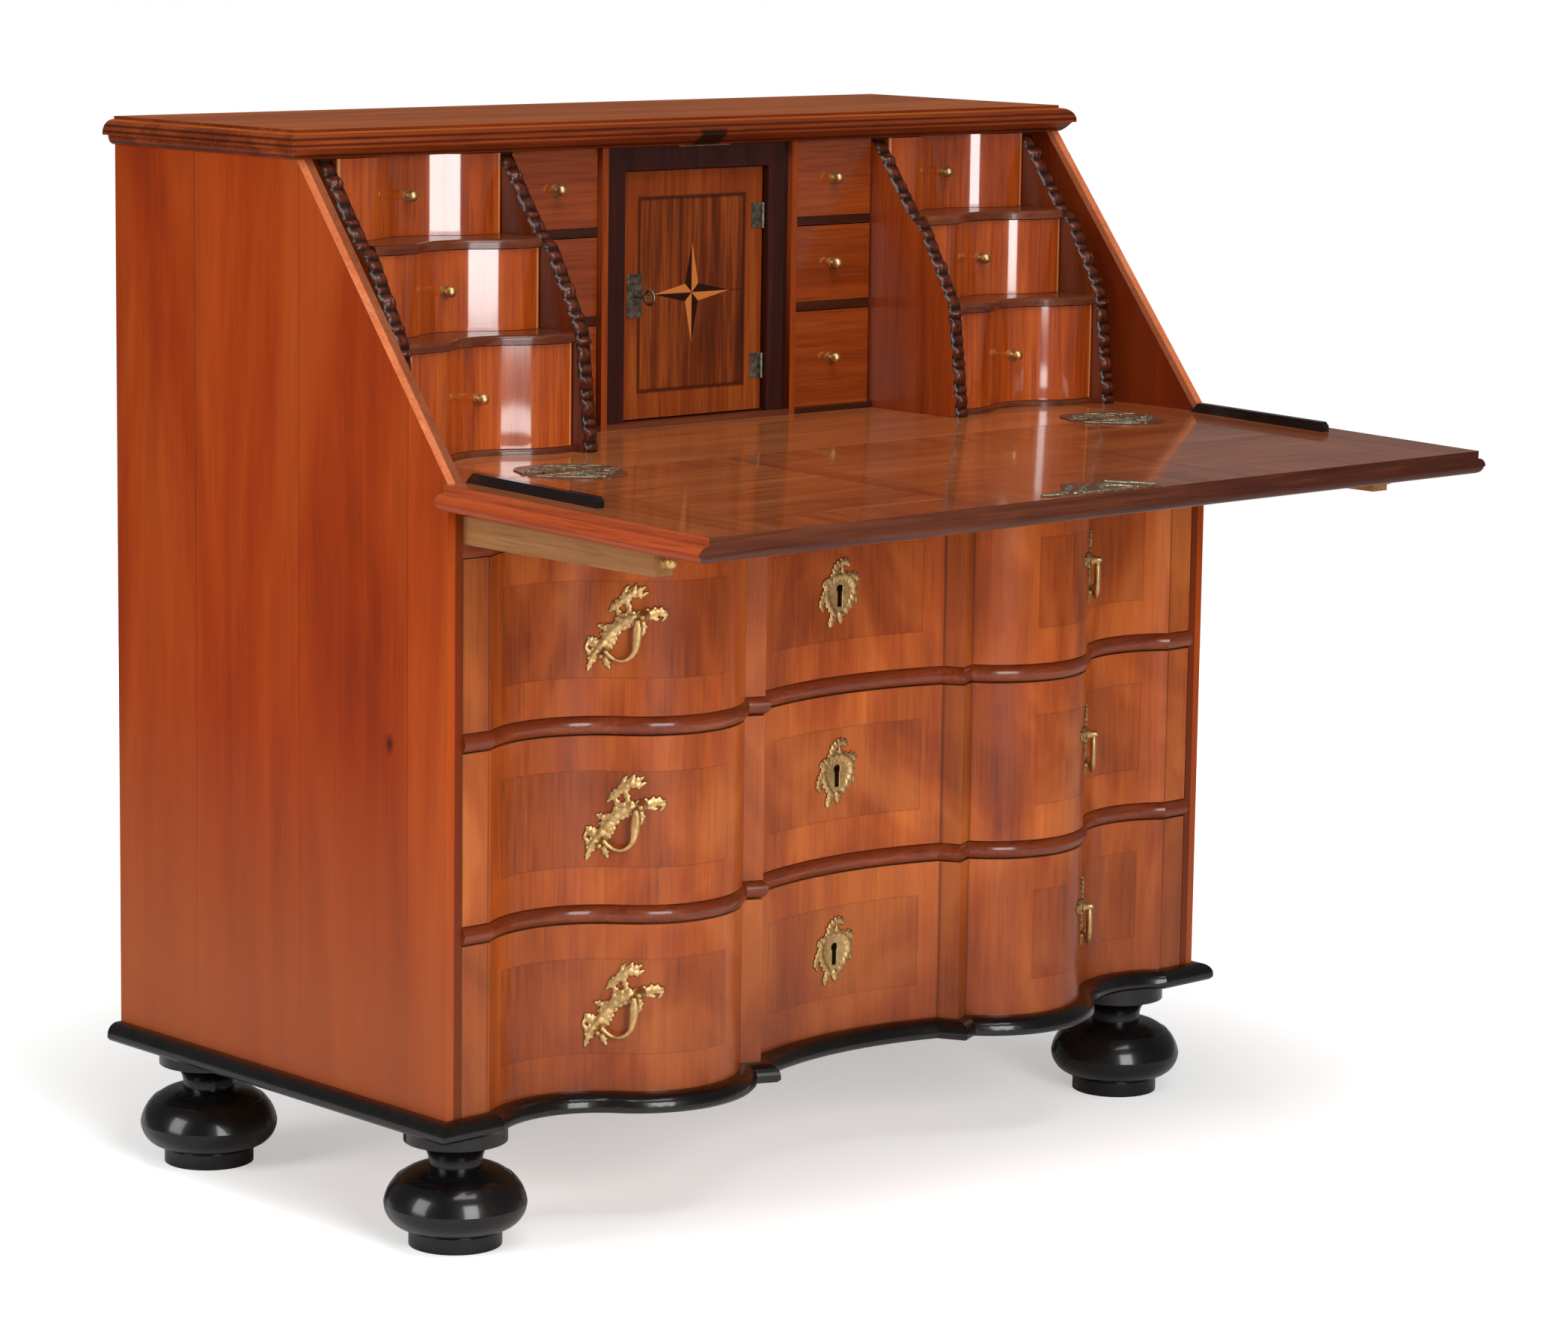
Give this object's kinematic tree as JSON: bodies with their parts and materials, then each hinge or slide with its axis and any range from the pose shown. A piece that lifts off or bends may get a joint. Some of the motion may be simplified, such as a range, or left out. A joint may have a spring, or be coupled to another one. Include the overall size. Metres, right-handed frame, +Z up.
{
  "type": "slant-front bureau",
  "caption": "Slant-front writing bureau with serpentine blocked drawers, fall flap on sliding lopers, stepped gallery of small drawers, prospect door and bun feet",
  "frame": {"origin": "on the floor under the middle of the box round the bureau with its flap open", "axes": "+X to the viewer's right, +Y to the back, +Z up"},
  "size_m": [1.076, 0.883, 1.055],
  "materials": {
    "brass": "gilt, worn",
    "case_wood": "satin varnish",
    "ebonised_wood": "polished black",
    "iron": "bright filed iron, dulled",
    "moulding_wood": "polished",
    "plain_wood": "unfinished",
    "veneer": "polished"
  },
  "bodies": {
    "carcass": {"side_left": "case_wood", "side_right": "case_wood", "top_board": "case_wood", "back_panel": "plain_wood", "bottom_board": "plain_wood", "base_moulding": "ebonised_wood", "bun_feet": "ebonised_wood", "writing_board": "veneer", "front_rails": "moulding_wood", "drawer_runners": "plain_wood", "gallery_partitions": "case_wood", "gallery_shelves": "moulding_wood", "door_surround": "ebonised_wood", "desk_ironwork": "iron"},
    "flap": {"flap_board": "veneer", "flap_battens": "ebonised_wood", "flap_ironwork": "iron"},
    "prospect_door": {"prospect_door": "veneer", "door_ironwork": "iron"},
    "loper_left": {"loper_left": "plain_wood"},
    "loper_right": {"loper_right": "plain_wood"},
    "drawer_top": {"drawer_top_front": "veneer", "drawer_top_box": "plain_wood", "drawer_top_brasses": "brass"},
    "drawer_middle": {"drawer_middle_front": "veneer", "drawer_middle_box": "plain_wood", "drawer_middle_brasses": "brass"},
    "drawer_bottom": {"drawer_bottom_front": "veneer", "drawer_bottom_box": "plain_wood", "drawer_bottom_brasses": "brass"},
    "bail_top_left": {"bail_top_left": "brass"},
    "bail_top_right": {"bail_top_right": "brass"},
    "bail_middle_left": {"bail_middle_left": "brass"},
    "bail_middle_right": {"bail_middle_right": "brass"},
    "bail_bottom_left": {"bail_bottom_left": "brass"},
    "bail_bottom_right": {"bail_bottom_right": "brass"},
    "left_stack_drawer_low": {"left_stack_drawer_low": "veneer", "left_stack_knob_low": "brass"},
    "left_stack_drawer_middle": {"left_stack_drawer_middle": "veneer", "left_stack_knob_middle": "brass"},
    "left_stack_drawer_upper": {"left_stack_drawer_upper": "veneer", "left_stack_knob_upper": "brass"},
    "left_inner_drawer_low": {"left_inner_drawer_low": "veneer", "left_inner_knob_low": "brass"},
    "left_inner_drawer_middle": {"left_inner_drawer_middle": "veneer", "left_inner_knob_middle": "brass"},
    "left_inner_drawer_upper": {"left_inner_drawer_upper": "veneer", "left_inner_knob_upper": "brass"},
    "right_stack_drawer_low": {"right_stack_drawer_low": "veneer", "right_stack_knob_low": "brass"},
    "right_stack_drawer_middle": {"right_stack_drawer_middle": "veneer", "right_stack_knob_middle": "brass"},
    "right_stack_drawer_upper": {"right_stack_drawer_upper": "veneer", "right_stack_knob_upper": "brass"},
    "right_inner_drawer_low": {"right_inner_drawer_low": "veneer", "right_inner_knob_low": "brass"},
    "right_inner_drawer_middle": {"right_inner_drawer_middle": "veneer", "right_inner_knob_middle": "brass"},
    "right_inner_drawer_upper": {"right_inner_drawer_upper": "veneer", "right_inner_knob_upper": "brass"}
  },
  "joints": [
    {"name": "flap_hinge", "type": "hinge", "parent": "carcass", "child": "flap", "pos_m": [0, -0.07855, 0.742], "axis": [-1, 0, 0], "range_deg": [0, 129.9]},
    {"name": "prospect_door_hinge", "type": "hinge", "parent": "carcass", "child": "prospect_door", "pos_m": [0.096, 0.16295, 0.875], "axis": [0, 0, -1], "range_deg": [-90, 0]},
    {"name": "loper_left_slide", "type": "slide", "parent": "carcass", "child": "loper_left", "axis": [0, 1, 0], "range_m": [0, 0.265]},
    {"name": "loper_right_slide", "type": "slide", "parent": "carcass", "child": "loper_right", "axis": [0, 1, 0], "range_m": [0, 0.265]},
    {"name": "drawer_top_slide", "type": "slide", "parent": "carcass", "child": "drawer_top", "axis": [0, 1, 0], "range_m": [-0.38, 0]},
    {"name": "drawer_middle_slide", "type": "slide", "parent": "carcass", "child": "drawer_middle", "axis": [0, 1, 0], "range_m": [-0.38, 0]},
    {"name": "drawer_bottom_slide", "type": "slide", "parent": "carcass", "child": "drawer_bottom", "axis": [0, 1, 0], "range_m": [-0.38, 0]},
    {"name": "bail_top_left_hinge", "type": "hinge", "parent": "drawer_top", "child": "bail_top_left", "pos_m": [-0.32751, -0.10288, 0.5841], "axis": [0.4613, -0.5497, 0.6964], "range_deg": [-80, 0]},
    {"name": "bail_top_right_hinge", "type": "hinge", "parent": "drawer_top", "child": "bail_top_right", "pos_m": [0.32751, -0.10288, 0.5841], "axis": [0.4613, 0.5497, -0.6964], "range_deg": [-80, 0]},
    {"name": "bail_middle_left_hinge", "type": "hinge", "parent": "drawer_middle", "child": "bail_middle_left", "pos_m": [-0.32751, -0.10288, 0.4011], "axis": [0.4613, -0.5497, 0.6964], "range_deg": [-80, 0]},
    {"name": "bail_middle_right_hinge", "type": "hinge", "parent": "drawer_middle", "child": "bail_middle_right", "pos_m": [0.32751, -0.10288, 0.4011], "axis": [0.4613, 0.5497, -0.6964], "range_deg": [-80, 0]},
    {"name": "bail_bottom_left_hinge", "type": "hinge", "parent": "drawer_bottom", "child": "bail_bottom_left", "pos_m": [-0.32751, -0.10288, 0.2181], "axis": [0.4613, -0.5497, 0.6964], "range_deg": [-80, 0]},
    {"name": "bail_bottom_right_hinge", "type": "hinge", "parent": "drawer_bottom", "child": "bail_bottom_right", "pos_m": [0.32751, -0.10288, 0.2181], "axis": [0.4613, 0.5497, -0.6964], "range_deg": [-80, 0]},
    {"name": "left_stack_drawer_low_slide", "type": "slide", "parent": "carcass", "child": "left_stack_drawer_low", "axis": [0, 1, 0], "range_m": [-0.15, 0]},
    {"name": "left_stack_drawer_middle_slide", "type": "slide", "parent": "carcass", "child": "left_stack_drawer_middle", "axis": [0, 1, 0], "range_m": [-0.15, 0]},
    {"name": "left_stack_drawer_upper_slide", "type": "slide", "parent": "carcass", "child": "left_stack_drawer_upper", "axis": [0, 1, 0], "range_m": [-0.15, 0]},
    {"name": "left_inner_drawer_low_slide", "type": "slide", "parent": "carcass", "child": "left_inner_drawer_low", "axis": [0, 1, 0], "range_m": [-0.15, 0]},
    {"name": "left_inner_drawer_middle_slide", "type": "slide", "parent": "carcass", "child": "left_inner_drawer_middle", "axis": [0, 1, 0], "range_m": [-0.15, 0]},
    {"name": "left_inner_drawer_upper_slide", "type": "slide", "parent": "carcass", "child": "left_inner_drawer_upper", "axis": [0, 1, 0], "range_m": [-0.15, 0]},
    {"name": "right_stack_drawer_low_slide", "type": "slide", "parent": "carcass", "child": "right_stack_drawer_low", "axis": [0, 1, 0], "range_m": [-0.15, 0]},
    {"name": "right_stack_drawer_middle_slide", "type": "slide", "parent": "carcass", "child": "right_stack_drawer_middle", "axis": [0, 1, 0], "range_m": [-0.15, 0]},
    {"name": "right_stack_drawer_upper_slide", "type": "slide", "parent": "carcass", "child": "right_stack_drawer_upper", "axis": [0, 1, 0], "range_m": [-0.15, 0]},
    {"name": "right_inner_drawer_low_slide", "type": "slide", "parent": "carcass", "child": "right_inner_drawer_low", "axis": [0, 1, 0], "range_m": [-0.15, 0]},
    {"name": "right_inner_drawer_middle_slide", "type": "slide", "parent": "carcass", "child": "right_inner_drawer_middle", "axis": [0, 1, 0], "range_m": [-0.15, 0]},
    {"name": "right_inner_drawer_upper_slide", "type": "slide", "parent": "carcass", "child": "right_inner_drawer_upper", "axis": [0, 1, 0], "range_m": [-0.15, 0]}
  ]
}
